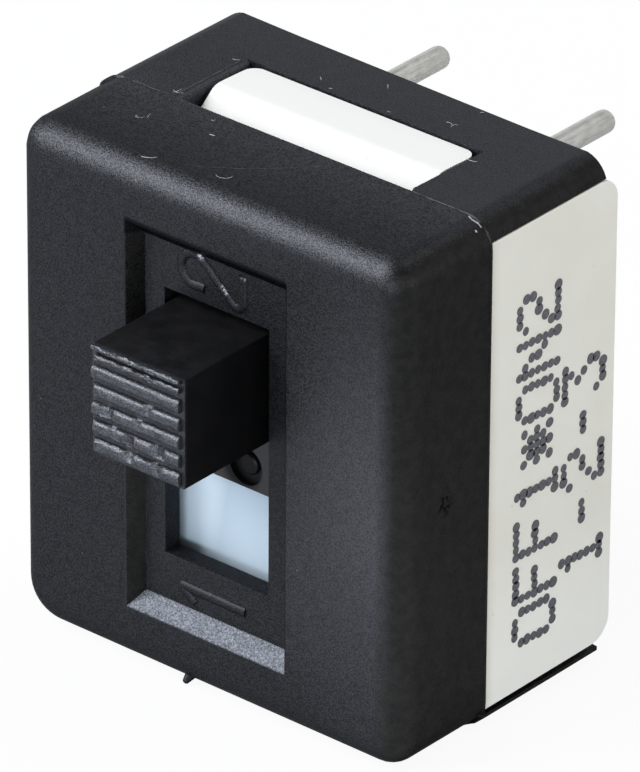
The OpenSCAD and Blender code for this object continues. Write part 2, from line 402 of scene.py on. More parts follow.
def black_grained_plastic():
    """The cover: spark-eroded black moulding, plain on its drawn sides, with dust in its grain; its sides and recess
    walls carry painted shade, and its face, edges and figures carry painted light and highlights.
    """
    f = Finish("black_grained_plastic")
    x, y, z = f.axis("X"), f.axis("Y"), f.axis("Z")
    speckle = f.level(f.noise(0.038, 1.0), 0.36, 0.64)
    mottle = f.level(f.noise(0.24, 3.0, 0.6), 0.35, 0.65)
    cloud = f.noise(1.7, 3.0, 0.55)
    grain = speckle * 0.85 + mottle * 0.15

    # the face: a painted reflection, paler towards the right
    painted_glow = ((x - 5.2) ** 2 + ((z + 0.3) * 0.85) ** 2) ** 0.5
    painted_glow = f.level(painted_glow, 5.2, 0.6) * f.level(y, FRONT + 0.3, FRONT + 0.05)
    tone = f.blend(grain, rgb(0.0202, 0.0217, 0.0248), rgb(0.0444, 0.0473, 0.0533))
    pale = f.blend(grain, rgb(0.048, 0.050, 0.057), rgb(0.092, 0.097, 0.108))
    tone = f.blend(painted_glow, tone, pale)

    # the upper front edge: a painted highlight along its rounding, paler in tone
    rise = (z - HALF_H + CORNER_R).greatest(0.0) * (y * -1 + FRONT + CORNER_R).greatest(0.0)
    rim = f.level(rise / CORNER_R ** 2, 0.14, 0.44)
    highlight_tone = f.blend(speckle, rgb(0.024, 0.0258, 0.0295), rgb(0.079, 0.084, 0.0935))
    tone = f.blend(rim, tone, highlight_tone)

    # the sides and the recess walls: smoother, and painted darker as shade; the right side is painted paler towards the
    # bottom
    right = f.level(x, HALF_W - 0.74, HALF_W - 0.32)
    left = f.level(x, -HALF_W + 0.2, -HALF_W + 0.04)
    across = (abs(x) - RECESS_FLOOR_HALF.x) / (RECESS_HALF.x - RECESS_FLOOR_HALF.x)
    along = (abs(z) - RECESS_FLOOR_HALF.z) / (RECESS_HALF.z - RECESS_FLOOR_HALF.z)
    wall = f.level(across - along, -0.03, 0.03).greatest(f.level(z, 0.0, 0.1))
    wall = wall * f.between(across.greatest(along), 0.04, 0.97, 0.03)
    wall = wall * f.between(y, FRONT + 0.02, RECESS_FLOOR - 0.01, 0.02)
    drawn = right.greatest(left).greatest(wall)
    plain = f.blend(mottle, rgb(0.0178, 0.0178, 0.0180), rgb(0.0243, 0.0241, 0.0243))
    foot = f.level(z, 3.5, -2.5) * f.level(x, 0.0, 1.0)
    plain = f.blend(foot, plain, f.blend(mottle, rgb(0.0240, 0.0238, 0.0235), rgb(0.0325, 0.0320, 0.0314)))
    tone = f.blend(drawn, tone, plain)

    # painted light: the upper face is paler towards its back
    upper = f.level(z, HALF_H - 0.14, HALF_H - 0.06) * f.level(y, FRONT + 0.8, FRONT + 2.8, 0.0, 0.45)
    tone = f.blend(upper * (1 - drawn), tone, pale)

    # the recess's lower wall faces up: painted paler as lit, with a coarse glittering grain
    ledge = f.level(along - across, -0.03, 0.03) * f.level(z, 0.0, -0.1)
    ledge = ledge * f.between(along, 0.03, 0.98, 0.03) * f.between(y, FRONT + 0.02, RECESS_FLOOR - 0.01, 0.02)
    glitter = f.level(f.noise(0.055, 2.0), 0.30, 0.70)
    tone = f.blend(ledge, tone, f.blend(glitter, rgb(0.044, 0.048, 0.057), rgb(0.114, 0.124, 0.144)))

    # shade gathers under the recess's upper lip and along its right one
    lip = f.between(along, 0.20, 1.14, 0.20) * f.level(z, 0.0, 0.1) * f.level(across, 1.10, 0.98)
    brow = f.between(across, 0.94, 1.04, 0.12) * f.level(x, 0.0, 0.1) * f.level(along, 1.10, 0.95)
    lip = lip.greatest(brow * 0.6) * f.level(y, RECESS_FLOOR + 0.06, RECESS_FLOOR + 0.03)
    tone = f.blend(lip * 0.85, tone, rgb(0.007, 0.007, 0.009))

    # painted glints on the raised figures' edges
    glint = None
    for place_x, place_z in FIGURE_GLINTS:
        spot = f.level(((x - place_x) ** 2 + (z - place_z) ** 2) ** 0.5, 0.12, 0.04)
        glint = spot if glint is None else glint.greatest(spot)
    glint = glint * f.level(y, RECESS_FLOOR - 0.012, RECESS_FLOOR - 0.024) * f.level(f.noise(0.07), 0.42, 0.60)
    tone = f.blend(glint * f.level(y, FRONT + 0.1, FRONT + 0.2), tone, rgb(0.34, 0.36, 0.42))

    # a dark blot on the right side
    blot = (((y - FRONT - 1.56) * 1.3) ** 2 + (z + 0.01) ** 2) ** 0.5
    blot = f.level(blot, 0.38, 0.20) * f.level(f.noise(0.14, 2.0), 0.47, 0.56) * f.level(x, HALF_W - 0.1, HALF_W - 0.05)
    tone = f.blend(blot * 0.8, tone, rgb(0.003, 0.003, 0.004))

    # dust caught in the grain
    dust = f.level(f.noise(0.16, 5.0, 0.75), 0.67, 0.75) * f.level(f.noise(2.6), 0.45, 0.62)
    specks = f.level(f.cells(0.62), 0.040, 0.022) * f.level(f.noise(1.1), 0.56, 0.62)
    tone = f.blend(dust * 0.35, tone, rgb(0.16, 0.16, 0.17))
    tone = f.blend(specks * 0.6 * (1 - drawn), tone, rgb(0.26, 0.26, 0.28))

    normal = f.bump(speckle * 0.8 + f.noise(0.10, 1.0) * 0.4, 0.45, 0.009)
    normal = f.bump(cloud, 0.25, 0.03, normal)
    rough = f.level(grain, 0.1, 0.9, 0.36, 0.50) - drawn * 0.1
    return f.surface(tone, rough, normal, 0.78,
                     **{"Specular IOR Level": 0.0, "Specular Tint": rgb(0.5, 0.5, 0.5)})


def black_smooth_plastic():
    """The slider: a smoother, deeper black, worn grey where a finger works it, with painted shade on its right side and
    low on its skirt, and its skirt painted paler.
    """
    f = Finish("black_smooth_plastic")
    x, y = f.axis("X"), f.axis("Y")
    grain = f.noise(0.05, 3.0, 0.6)
    sparkle = f.level(f.noise(0.04, 1.0), 0.38, 0.62)
    streak = f.noise(0.10, 4.0, 0.7, stretch=(0.2, 1, 1))
    cloud = f.noise(0.5, 4.0, 0.65)
    crown = f.level(y, KNOB_TIP + RIDGE_H + 0.08, KNOB_TIP + 0.06)
    worn = crown * f.level(streak, 0.3, 0.7, 0.45, 1.0)
    scuffs = f.level(f.noise(0.07, 4.0, 0.7), 0.60, 0.72) * f.level(cloud, 0.50, 0.62)
    scuffs = scuffs * f.level(y, SKIRT_FRONT, KNOB_TIP, 0.25, 1.0)
    tone = f.blend(f.level(cloud, 0.3, 0.7), rgb(0.0285, 0.0285, 0.0315), rgb(0.0435, 0.0435, 0.0480))
    # painted shade: the knob's right side is darker
    tone = f.blend(f.level(x, KNOB_HALF - 0.05, KNOB_HALF - 0.01), tone, rgb(0.0190, 0.0190, 0.0202))
    # painted light: the skirt behind the knob is paler
    tone = f.blend(f.level(y, SKIRT_FRONT - 0.06, SKIRT_FRONT - 0.02), tone, rgb(0.058, 0.058, 0.061))
    # painted shade in and round the well low on the skirt
    gate_shade = ((x - 0.30) ** 2 + (f.axis("Z") - SLIDER_LOW.z - 0.47) ** 2) ** 0.5
    gate_shade = f.level(gate_shade, 0.66, 0.42) * f.level(y, SKIRT_FRONT - 0.06, SKIRT_FRONT - 0.02)
    tone = f.blend(gate_shade * 0.85, tone, rgb(0.012, 0.012, 0.014))
    tone = f.blend(scuffs * 0.45, tone, rgb(0.050, 0.051, 0.056))
    tone = f.blend(worn, tone, f.blend(sparkle, rgb(0.063, 0.068, 0.080), rgb(0.146, 0.156, 0.175)))
    normal = f.bump(grain, 0.25, 0.008)
    normal = f.bump(streak * worn + sparkle * worn * 0.3, 0.6, 0.018, normal)
    rough = f.level(cloud, 0.3, 0.7, 0.34, 0.46) - worn * 0.06
    return f.surface(tone, rough, normal, 0.8,
                     **{"Specular IOR Level": 0.0, "Specular Tint": rgb(0.5, 0.5, 0.5)})


def cream_plastic():
    """The case: smooth cream-white moulding, with painted light and shade in its slot, low down, on its snaps and along
    its joint with the bezel.
    """
    f = Finish("cream_plastic")
    cloud = f.noise(2.2, 3.0, 0.55)
    grain = f.noise(0.09, 3.0, 0.6)
    speck = f.level(f.cells(0.62), 0.035, 0.05, 1.0, 0.0) * f.level(f.noise(1.1), 0.5, 0.6)
    tone = f.blend(f.level(cloud, 0.3, 0.7), rgb(0.735, 0.715, 0.635), rgb(0.775, 0.760, 0.690))
    # painted shade and light in the slot: the case shows blue-grey there, paler at the left and low down
    inner = f.level(f.axis("Y"), PARTING - 0.4, PARTING - 1.2)
    painted_slot_light = f.level(f.axis("X"), -0.30, -1.15).greatest(f.level(f.axis("Z"), -1.4, -3.6, 0.0, 0.45))
    tone = f.blend(inner, tone, f.blend(painted_slot_light, rgb(0.39, 0.49, 0.59), rgb(0.72, 0.86, 0.98)))
    # painted light: the case is paler towards the bottom
    low = f.level(f.axis("Z"), -2.0, -5.6) * (1 - inner)
    tone = f.blend(low, tone, rgb(0.93, 0.92, 0.86))
    # painted light: the snaps are paler than the rest of the case
    snap = f.level(abs(f.axis("Z")), CASE_HALF_H + 0.04, CASE_HALF_H + 0.12)
    tone = f.blend(snap, tone, rgb(0.84, 0.84, 0.83))
    # painted shade along the case's joint with the bezel
    seam_shade = f.level(f.axis("Y"), PARTING + 0.38, PARTING + 0.02) * (1 - inner)
    tone = f.blend(seam_shade * seam_shade * 0.35 * (1 - snap), tone, rgb(0.42, 0.36, 0.27))
    tone = f.blend(speck * 0.35, tone, rgb(0.30, 0.27, 0.22))
    normal = f.bump(grain, 0.12, 0.01)
    return f.surface(tone, f.level(cloud, 0.3, 0.7, 0.38, 0.5), normal,
                     **{"Specular IOR Level": 0.4, "Subsurface Weight": 0.0})


def tin_plate():
    """The pins: dull tin plating, drawn lengthwise, slightly uneven."""
    f = Finish("tin_plate")
    drawn = f.noise(0.07, 4.0, 0.65, stretch=(1, 0.12, 1))
    patch = f.noise(0.35, 4.0, 0.6)
    tone = f.blend(f.level(patch, 0.3, 0.7), rgb(0.38, 0.38, 0.355), rgb(0.53, 0.53, 0.50))
    tone = f.blend(f.level(drawn, 0.52, 0.72) * 0.6, tone, rgb(0.24, 0.235, 0.22))
    normal = f.bump(drawn, 0.4, 0.012)
    normal = f.bump(patch, 0.3, 0.02, normal)
    return f.surface(tone, f.level(patch, 0.3, 0.7, 0.36, 0.55), normal, 0.9)


def print_ink():
    """The marking on the case's side: dark ink laid down in drops."""
    f = Finish("print_ink")
    grain = f.noise(0.06, 3.0, 0.7)
    tone = f.blend(f.level(grain, 0.35, 0.7), rgb(0.050, 0.050, 0.058), rgb(0.125, 0.125, 0.140))
    return f.surface(tone, 0.6, f.bump(grain, 0.3, 0.006))


def metal(name, dark, light, rough):
    f = Finish(name)
    patch = f.noise(0.3, 3.0, 0.6)
    fine = f.noise(0.05, 2.0, 0.5)
    tone = f.blend(f.level(patch, 0.3, 0.7), rgb(*dark), rgb(*light))
    return f.surface(tone, f.level(fine, 0.3, 0.7, rough, rough + 0.15),
                     f.bump(fine, 0.2, 0.006), 1.0)


def resin():
    """The seal: cast resin, faintly uneven where it set."""
    f = Finish("cast_resin")
    flow = f.noise(1.4, 3.0, 0.55)
    fine = f.noise(0.2, 3.0, 0.6)
    tone = f.blend(f.level(flow, 0.3, 0.7), rgb(0.30, 0.24, 0.13), rgb(0.40, 0.34, 0.21))
    return f.surface(tone, f.level(flow, 0.3, 0.7, 0.18, 0.32), f.bump(flow + fine * 0.3, 0.3, 0.05))


# ----------------------------------------------------------------- cover

def model_bezel():
    """The bezel, with its recess, slot and hollow, and the upper strap drawn out of it."""
    cover = start_block("cover_moulding", (-HALF_W, FRONT, -HALF_H), (HALF_W, PARTING, HALF_H))
    pick("verts", lambda v: near(v.co.y, FRONT))
    resize((1 - DRAFT / HALF_W, 1, 1 - DRAFT / HALF_H), (0, FRONT, 0))
    edges_where(lambda a, b: not near(a.y, b.y) and a.x < 0 and a.z < 0)
    round_edges(LOWER_LEFT_R, 10)
    edges_where(lambda a, b: (near(a.y, FRONT) and near(b.y, FRONT))
                or (not near(a.y, b.y) and (a.x > 1 or a.z > 1)))
    round_edges(CORNER_R, 9)

    # the front is a little smaller than the rest, with a step at the parting line
    slice_all("y", PARTING - STEP)
    pick("verts", lambda v: near(v.co.y, PARTING - STEP))
    resize((1 - STEP / HALF_W, 1, 1 - STEP / HALF_H), (0, 0, 0))

    # recess, from the front face
    slice_all("x", -RECESS_HALF.x, RECESS_HALF.x)
    slice_all("z", -RECESS_HALF.z, RECESS_HALF.z)
    faces_towards((0, -1, 0), lambda c: abs(c.x) < RECESS_HALF.x and abs(c.z) < RECESS_HALF.z)
    push(0, RECESS_FLOOR - FRONT, 0)
    resize((RECESS_FLOOR_HALF.x / RECESS_HALF.x, 1, RECESS_FLOOR_HALF.z / RECESS_HALF.z),
           (0, RECESS_FLOOR, 0))

    # slot, from the floor of the recess
    slice_selected("x", -SLOT_HALF.x)
    on_floor = lambda c: near(c.y, RECESS_FLOOR)
    in_slot = lambda c: abs(c.x) < SLOT_HALF.x and abs(c.z) < SLOT_HALF.z
    for axis, place in (("x", SLOT_HALF.x), ("z", -SLOT_HALF.z), ("z", SLOT_HALF.z)):
        faces_towards((0, -1, 0), on_floor)
        slice_selected(axis, place)
    faces_towards((0, -1, 0), on_floor, in_slot)
    push(0, SLOT_BACK - RECESS_FLOOR, 0)
    bpy.ops.mesh.delete(type="FACE")

    # hollow, from the back
    at_back = lambda c: near(c.y, PARTING)
    for axis, place in (("x", -SIDE_INNER), ("x", SIDE_INNER), ("z", -STRAP_UNDER), ("z", STRAP_UNDER),
                        ("x", -WINDOW_HALF), ("x", WINDOW_HALF)):
        faces_towards((0, 1, 0), at_back)
        slice_selected(axis, place)
    faces_towards((0, 1, 0), at_back, lambda c: abs(c.x) < SIDE_INNER and abs(c.z) < STRAP_UNDER)
    push(0, SLOT_BACK - PARTING, 0)
    at_hollow = lambda c: near(c.y, SLOT_BACK)
    for axis, place in (("x", -SLOT_HALF.x), ("x", SLOT_HALF.x), ("z", -SLOT_HALF.z), ("z", SLOT_HALF.z)):
        faces_towards((0, 1, 0), at_hollow)
        slice_selected(axis, place)
    faces_towards((0, 1, 0), at_hollow, in_slot)
    bpy.ops.mesh.delete(type="FACE")

    # upper strap, beside its window and then across behind it
    faces_towards((0, 1, 0), at_back,
                  lambda c: c.z > STRAP_UNDER and abs(c.x) > WINDOW_HALF)
    push(0, WINDOW_BACK - PARTING, 0)
    push(0, STRAP_END - WINDOW_BACK, 0)
    pick("faces", lambda face: abs(face.normal.x) > 0.98
         and near(abs(face.calc_center_median().x), WINDOW_HALF)
         and face.calc_center_median().y > WINDOW_BACK)
    bpy.ops.mesh.bridge_edge_loops()
    bpy.ops.mesh.select_mode(type="VERT")
    bpy.ops.mesh.select_all(action="SELECT")
    bpy.ops.mesh.remove_doubles(threshold=1e-4)

    # the strap's end runs out of square, further back at the left
    for reach, back in ((WINDOW_HALF - 0.1, 0.12), (4.8, 0.055)):
        pick("verts", lambda v: v.co.y > WINDOW_BACK + 0.01 and v.co.z > STRAP_UNDER - 0.01
             and v.co.x < -reach)
        shift(0, back, 0)
    pick("verts", lambda v: near(v.co.z, HALF_H, 0.002))
    shift(0, 0, -PLAY)
    return cover


WINDOW_NIBBLES = ((0.12, -0.06), (0.22, 0.03), (0.70, 0.02), (1.15, 0.035), (1.45, 0.03),
                  (1.62, -0.05), (1.72, 0.02), (2.05, -0.01))


def trim_window():
    """The strap window's edges: rounded over at the left, and ragged at the right."""
    rim = HALF_H - PLAY
    edges_where(lambda a, b: all(near(c.x, -WINDOW_HALF) and near(c.z, rim) for c in (a, b))
                and max(a.y, b.y) < WINDOW_BACK + 0.01)
    round_edges(0.20, 4)
    for past, pull in WINDOW_NIBBLES:
        pick("faces", lambda face: abs(face.calc_center_median().x - 4.2) < 0.9
             and PARTING < face.calc_center_median().y < WINDOW_BACK
             and face.calc_center_median().z > STRAP_UNDER + 0.01)
        slice_selected("y", PARTING + past)
        pick("verts", lambda v: near(v.co.x, WINDOW_HALF) and near(v.co.z, rim)
             and near(v.co.y, PARTING + past))
        shift(pull, 0, 0)


def soften_bezel(cover):
    """Breaks the edges of the recess, the slot and the strap by small radii."""
    def recess_rim(a, b):
        return (near(a.y, FRONT) and near(b.y, FRONT)
                and all(near(abs(p.x), RECESS_HALF.x) or near(abs(p.z), RECESS_HALF.z) for p in (a, b))
                and all(abs(p.x) < RECESS_HALF.x + 0.01 and abs(p.z) < RECESS_HALF.z + 0.01 for p in (a, b)))

    def slot_rim(a, b):
        return (near(a.y, RECESS_FLOOR) and near(b.y, RECESS_FLOOR)
                and all(abs(p.x) < SLOT_HALF.x + 0.01 and abs(p.z) < SLOT_HALF.z + 0.01 for p in (a, b)))

    def strap_end(a, b):
        return min(a.y, b.y) > STRAP_END - 0.01 and (a.z + b.z) / 2 > STRAP_UNDER + 0.01

    edges_where(recess_rim)
    round_edges(0.05, 2)
    edges_where(slot_rim)
    round_edges(0.04, 2)
    edges_where(strap_end)
    round_edges(0.07, 3)
    trim_window()
    bpy.ops.object.mode_set(mode="OBJECT")


def model_lower_strap():
    """The lower strap: a plate that thins to a blade along its sides, with its snap window."""
    strap = start_block("lower_strap", (-HALF_W, PARTING - 0.75, -HALF_H + PLAY),
                        (HALF_W, STRAP_END, -STRAP_UNDER))
    slice_all("x", -WINDOW_HALF, WINDOW_HALF)
    slice_all("y", PARTING, WINDOW_BACK)
    in_window = lambda c: abs(c.x) < WINDOW_HALF and PARTING < c.y < WINDOW_BACK
    pick("faces", lambda face: abs(face.normal.z) > 0.98 and in_window(face.calc_center_median()))
    bpy.ops.mesh.bridge_edge_loops()
    for side in (-1, 1):
        for inset, lift in ((0.95, 0.0), (0.70, 0.03), (0.48, 0.09), (0.30, 0.168)):
            slice_all("x", side * (HALF_W - inset))
            pick("verts", lambda v: near(v.co.x, side * (HALF_W - inset)) and v.co.z < -HALF_H + PLAY + 0.01)
            shift(0, 0, lift)
        pick("verts", lambda v: near(v.co.x, side * HALF_W) and v.co.z < -HALF_H + PLAY + 0.01)
        shift(0, 0, 0.248)
        pick("verts", lambda v: near(v.co.x, side * HALF_W))
        shift(-side * 0.05, 0, 0)
        pick("verts", lambda v: abs(v.co.x) > HALF_W - 0.06 and v.co.z > -STRAP_UNDER - 0.01)
        shift(0, 0, -0.14)
    pick("verts", lambda v: near(v.co.y, STRAP_END))
    shift(0, 0.04, 0)
    # it runs out of the bezel in a soft curve
    slice_all("y", PARTING - 0.40, PARTING - 0.20)
    for back, share in ((0.75, 0.60), (0.40, 0.64), (0.20, 0.78), (0.0, 0.95)):
        pick("verts", lambda v: near(v.co.y, PARTING - back) and v.co.z < -STRAP_UNDER - 0.16)
        resize((1, 1, share), (0, 0, -STRAP_UNDER - 0.05))
    pick("verts", lambda v: v.co.y < PARTING - 0.1 and abs(v.co.x) > HALF_W - 0.06)
    resize((0.968, 1, 0.986), (0, 0, 0))
    bpy.ops.object.mode_set(mode="OBJECT")
    return strap


def raised_stroke(name, path, width, low, high):
    """A digit's stroke on the recess floor: a flat line of points, swept and softened."""
    clear_selection()
    curve = bpy.data.curves.new(name, "CURVE")
    curve.dimensions = "3D"
    line = curve.splines.new("POLY")
    line.points.add(len(path) - 1)
    for point, (x, z) in zip(line.points, path):
        point.co = (x, 0, z, 1)
    stroke = bpy.data.objects.new(name, curve)
    bpy.context.scene.collection.objects.link(stroke)
    curve.bevel_mode = "ROUND"
    curve.bevel_depth = width / 2
    curve.bevel_resolution = 4
    curve.use_fill_caps = True
    stroke.select_set(True)
    bpy.context.view_layer.objects.active = stroke
    bpy.ops.object.convert(target="MESH")
    stroke = bpy.context.object
    bpy.ops.object.mode_set(mode="EDIT")
    bpy.ops.mesh.select_all(action="SELECT")
    resize((1, (high - low) / width, 1), (0, 0, 0))
    bpy.ops.object.mode_set(mode="OBJECT")
    stroke.location = (0, (low + high) / 2, 0)
    bpy.ops.object.transform_apply(location=True, rotation=True, scale=True)
    return stroke


def arc(cx, cz, radius, start, end, steps):
    """Points along an arc in the plane of the face, in degrees from +X towards +Z."""
    return [(cx + radius * math.cos(math.radians(start + (end - start) * i / steps)),
             cz + radius * math.sin(math.radians(start + (end - start) * i / steps)))
            for i in range(steps + 1)]


def model_digits():
    """The position digits, lying on their sides with their tops towards -X."""
    low, high = RECESS_FLOOR - 0.060, RECESS_FLOOR + 0.11
    width = 0.26
    bow = arc(-0.62, 4.12, 0.40, 290, 70, 16)
    foot = arc(0.60, 3.76, 0.17, 235, 360, 8)
    two = [(-0.34, 3.73)] + bow + foot + [(0.77, 4.43)]
    one_stem = [(-1.02, -4.03), (0.86, -4.05)]
    one_flag = [(-0.98, -4.10), (-0.82, -4.21), (-0.62, -4.36)]
    return [raised_stroke("digit_two", two, width, low, high),
            raised_stroke("digit_one_stem", one_stem, width, low, high),
            raised_stroke("digit_one_flag", one_flag, width, low, high)]


def model_flash(name, start, end, radius, tip):
    """A short stub of flash left on the moulding, thinner towards its end."""
    start, end = Vector(start), Vector(end)
    clear_selection()
    bpy.ops.mesh.primitive_cone_add(vertices=14, radius1=radius, radius2=tip, depth=(end - start).length,
                                    location=(start + end) / 2,
                                    rotation=(end - start).to_track_quat("Z", "Y").to_euler())
    flash = bpy.context.object
    flash.name = flash.data.name = name
    bpy.ops.object.transform_apply(location=True, rotation=True, scale=True)
    bpy.ops.object.mode_set(mode="EDIT")
    middle = (start + end) / 2
    pick("edges", lambda e: all((v.co - middle).dot(end - start) > 0 for v in e.verts))
    round_edges(tip * 0.6, 3)
    bpy.ops.object.mode_set(mode="OBJECT")
    return flash


LINT = (  # place on the upper face, heading in degrees, length, bend and thickness
    (-3.46, 1.80, 35, 0.24, 0.6, 0.010), (-3.38, 2.00, 110, 0.22, -0.3, 0.009),
    (-3.56, 1.84, 150, 0.10, 0.8, 0.009), (-1.70, 2.22, 5, 0.15, 0.1, 0.017),
    (-2.14, 2.75, 25, 0.12, 0.9, 0.009), (-0.18, 0.84, 30, 0.54, 0.7, 0.015),
    (-2.06, 0.52, 33, 0.36, 0.3, 0.011), (-0.25, 6.53, 130, 0.19, 0.1, 0.010),
    (-1.63, 5.85, 140, 0.15, 0.2, 0.010), (1.98, 6.06, 150, 0.30, 0.5, 0.010),
    (2.06, 6.08, 60, 0.14, -0.5, 0.009), (3.43, 4.99, 8, 0.26, 0.3, 0.011),
    (-3.62, 3.24, 5, 0.30, 0.4, 0.010), (-3.64, 3.30, 80, 0.26, 0.2, 0.009),
    (-3.66, 5.30, 25, 0.20, 0.3, 0.009), (2.13, 6.93, 40, 0.09, 0.1, 0.010),
    (-1.15, 5.62, 20, 0.08, 0.0, 0.010), (0.55, 5.60, 10, 0.10, 0.2, 0.009),
)


def fibre(name, path, radius):
    """One hair of lint along a path."""
    curve = bpy.data.curves.new(name, "CURVE")
    curve.dimensions = "3D"
    line = curve.splines.new("POLY")
    line.points.add(len(path) - 1)
    for point, place in zip(line.points, path):
        point.co = (*place, 1)
    curve.bevel_depth = radius
    curve.bevel_resolution = 1
    curve.use_fill_caps = True
    hair = bpy.data.objects.new(name, curve)
    bpy.context.scene.collection.objects.link(hair)
    clear_selection()
    hair.select_set(True)
    bpy.context.view_layer.objects.active = hair
    bpy.ops.object.convert(target="MESH")
    return bpy.context.object


def model_lint():
    """Hairs and crumbs of lint lying on the upper and front faces of the cover."""
    hairs = []
    for i, (x, y, heading, length, bend, radius) in enumerate(LINT):
        top = HALF_H - PLAY
        if FRONT + y < PARTING:
            top = HALF_H - STEP - (DRAFT - STEP) * (1 - y / (PARTING - FRONT))
        path = []
        for step in range(-4, 5):
            along = step / 8
            turn = math.radians(heading) + bend * along * 2
            path.append((x + length * along * math.cos(turn), FRONT + y + length * along * math.sin(turn),
                         top - radius * abs(step) / 8))
        hairs.append(fibre(f"lint_{i}", path, radius))
    front = FRONT + 0.055
    hairs.append(fibre("lint_left_edge", [(-4.92, front, -4.72), (-4.90, front - 0.01, -4.80),
                                          (-4.84, front - 0.02, -4.93), (-4.78, front - 0.02, -5.06)], 0.014))
    hairs.append(fibre("lint_parting", [(5.02, FRONT + 2.98, HALF_H - 0.035), (5.14, FRONT + 2.95, HALF_H - 0.062),
                                        (5.28, FRONT + 2.98, HALF_H - 0.112), (5.38, FRONT + 2.97, HALF_H - 0.175)], 0.020))
    hairs.append(fibre("lint_corner", [(5.36, FRONT + 2.80, HALF_H - 0.185), (5.40, FRONT + 2.79, HALF_H - 0.215)], 0.024))
    return join_pieces(hairs, "lint")


def model_parting_line():
    """Fine raised lines where the mould closed: on the upper face, and round the window's left edge."""
    top = HALF_H - PLAY - 0.004
    y = PARTING - 0.012
    left = [(-4.75, y, top - 0.01), (-4.6, y + 0.01, top), (-4.1, y - 0.01, top), (-3.62, y + 0.01, top),
            (-3.56, y + 0.10, top)]
    ledge = [(-3.565, y + 0.02, top), (-3.57, y + 0.5, top), (-3.555, y + 1.1, top), (-3.56, y + 1.7, top),
             (-3.54, y + 2.25, top)]
    right = [(WINDOW_HALF + 0.03, y + 0.01, top), (3.9, y - 0.008, top), (4.5, y + 0.006, top),
             (4.95, y, top - 0.004), (5.15, y, top - 0.035), (5.30, y, top - 0.095)]
    lines = [fibre(name, path, radius) for name, path, radius in (
        ("parting_line_left", left, 0.010), ("parting_line_ledge", ledge, 0.016),
        ("parting_line_right", right, 0.014))]
    scratch = [(-1.24, FRONT + 0.78), (-0.80, FRONT + 1.02), (-0.20, FRONT + 1.42), (0.45, FRONT + 2.00),
               (1.06, FRONT + 2.65)]
    height = lambda y: HALF_H - STEP - (DRAFT - STEP) * (1 - (y - FRONT) / (PARTING - FRONT))
    lines.append(fibre("scratch_burr", [(x, y, height(y) + 0.002) for x, y in scratch], 0.006))
    return join_pieces(lines, "parting_line")


def painted_pale_flash():
    """Thin flash and burrs of the black moulding, painted paler so that they show as light lines of highlight."""
    f = Finish("painted_pale_flash")
    patch = f.level(f.noise(0.30, 4.0, 0.7), 0.38, 0.62)
    tone = f.blend(patch, rgb(0.020, 0.020, 0.022), rgb(0.085, 0.087, 0.094))
    return f.surface(tone, 0.5, f.bump(patch, 0.3, 0.006), **{"Specular IOR Level": 0.25})


def lint_finish():
    """Pale dusty fibres."""
    f = Finish("pale_lint")
    cloud = f.noise(0.2, 2.0)
    tone = f.blend(f.level(cloud, 0.35, 0.65), rgb(0.24, 0.24, 0.25), rgb(0.44, 0.44, 0.46))
    return f.surface(tone, 0.8, f.bump(f.noise(0.02, 2.0), 0.4, 0.004), **{"Specular IOR Level": 0.2})


def model_cover():
    cover = model_bezel()
    soften_bezel(cover)
    combine(cover, model_lower_strap(), "UNION")
    low_front = (-0.70, FRONT + 0.40, -HALF_H + 0.22)
    combine(cover, model_flash("flash_lower", low_front, (-0.70, FRONT + 0.12, -HALF_H + 0.07), 0.15, 0.065), "UNION")
    flash = model_flash("flash_left", (-5.26, PARTING, HALF_H - 0.30), (-5.41, PARTING, HALF_H - 0.13), 0.15, 0.10)
    flash.scale = (1, 2.6, 1)
    flash.location.y = -1.6 * PARTING - 0.12
    clear_selection()
    flash.select_set(True)
    bpy.context.view_layer.objects.active = flash
    bpy.ops.object.transform_apply(location=True, rotation=True, scale=True)
    combine(cover, flash, "UNION")
    # closes the small face that the joining leaves open at the window's corner
    clear_selection()
    cover.select_set(True)
    bpy.context.view_layer.objects.active = cover
    bpy.ops.object.mode_set(mode="EDIT")
    bpy.ops.mesh.select_all(action="SELECT")
    bpy.ops.mesh.fill_holes(sides=8)
    bpy.ops.object.mode_set(mode="OBJECT")
    return cover


# ------------------------------------------------------------------ case

